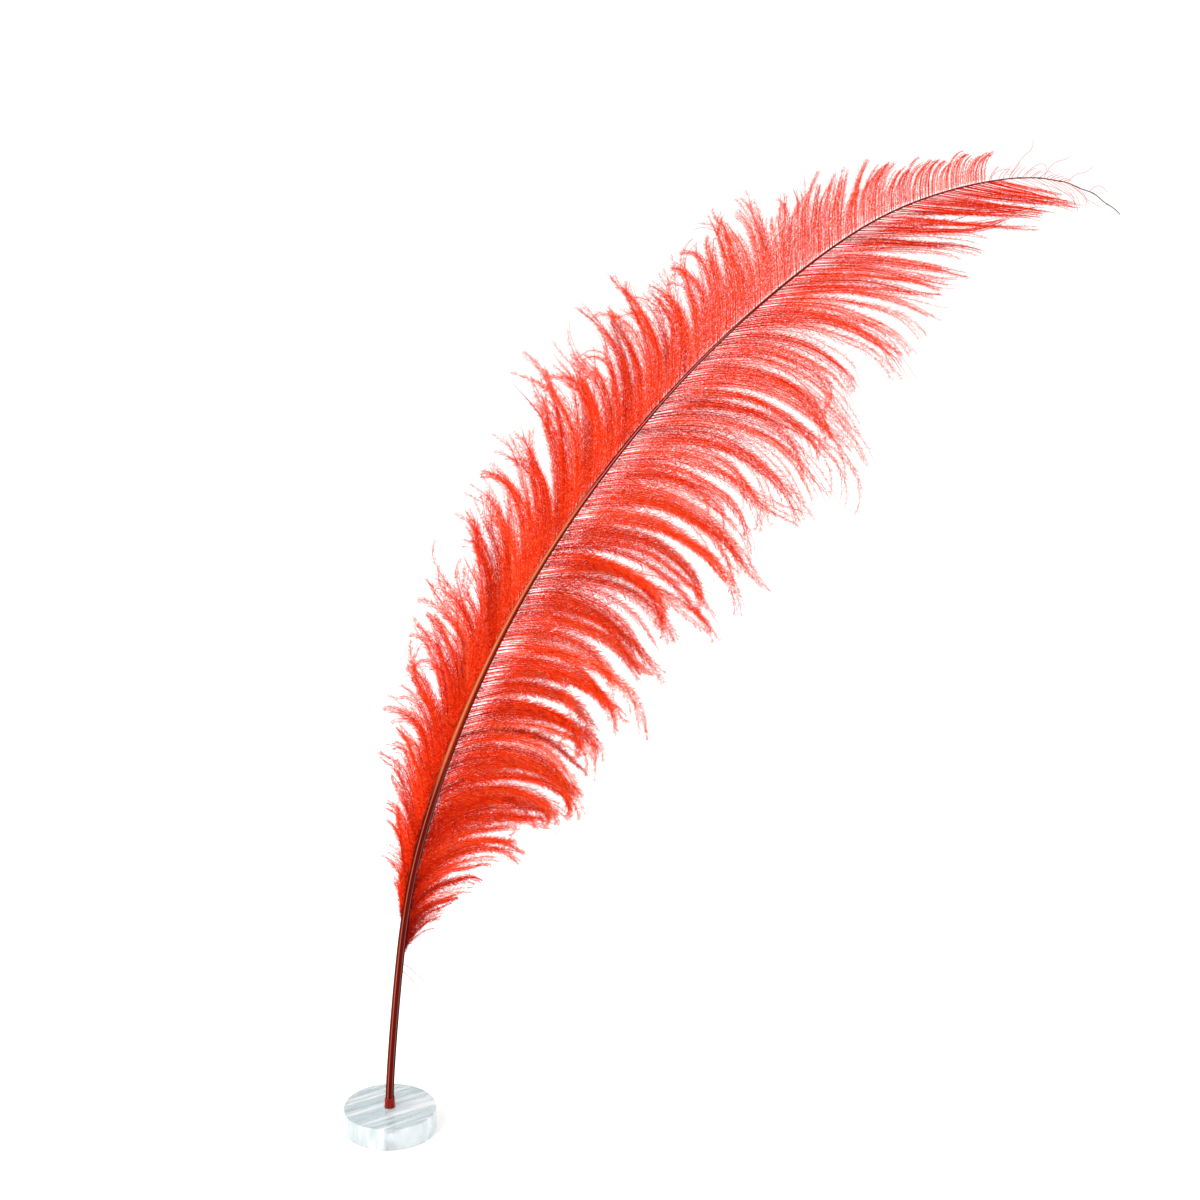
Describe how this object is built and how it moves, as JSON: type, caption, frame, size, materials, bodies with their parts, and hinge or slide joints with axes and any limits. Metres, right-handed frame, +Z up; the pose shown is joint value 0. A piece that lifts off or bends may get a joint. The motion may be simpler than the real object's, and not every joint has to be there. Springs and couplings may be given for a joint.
{
  "type": "ostrich plume in a disc base",
  "caption": "Dyed red ostrich plume, its curved shaft with a soft vane on each side, standing in a clear round disc with a centre hole; it turns in its sleeve and lifts out.",
  "frame": {"origin": "centre of the disc's underside, below the hole's axis", "axes": "+Z up along the hole's axis, +X the way the plume leans, the plume's vanes in the X-Z plane; the disc rests on -Z"},
  "size_m": [0.2957, 0.038, 0.4016],
  "materials": {
    "clear_glass": "polished",
    "sleeve_red": "gloss",
    "quill_maroon": "satin",
    "pith": "matte",
    "vane_red": "matte"
  },
  "bodies": {
    "base": {"base_disc": "clear_glass"},
    "sleeve": {"quill_sleeve": "sleeve_red"},
    "plume": {"quill_barrel": "quill_maroon", "rachis_cortex": "quill_maroon", "rachis_pith": "pith", "bare_tip": "quill_maroon", "leading_lock_01": "vane_red", "leading_lock_02": "vane_red", "leading_lock_03": "vane_red", "leading_lock_04": "vane_red", "leading_lock_05": "vane_red", "leading_lock_06": "vane_red", "leading_lock_07": "vane_red", "leading_lock_08": "vane_red", "leading_lock_09": "vane_red", "leading_lock_10": "vane_red", "leading_lock_11": "vane_red", "leading_lock_12": "vane_red", "leading_lock_13": "vane_red", "trailing_lock_01": "vane_red", "trailing_lock_02": "vane_red", "trailing_lock_03": "vane_red", "trailing_lock_04": "vane_red", "trailing_lock_05": "vane_red", "trailing_lock_06": "vane_red", "trailing_lock_07": "vane_red", "trailing_lock_08": "vane_red", "trailing_lock_09": "vane_red", "trailing_lock_10": "vane_red", "trailing_lock_11": "vane_red", "trailing_lock_12": "vane_red", "trailing_lock_13": "vane_red", "trailing_lock_14": "vane_red", "trailing_lock_15": "vane_red"}
  },
  "joints": [
    {"name": "plume_lift", "type": "slide", "parent": "base", "child": "sleeve", "axis": [0, 0, 1], "range_m": [0, 0.01]},
    {"name": "plume_turn", "type": "hinge", "parent": "sleeve", "child": "plume", "pos_m": [0, 0, 0.01], "axis": [0, 0, 1], "continuous": true}
  ]
}
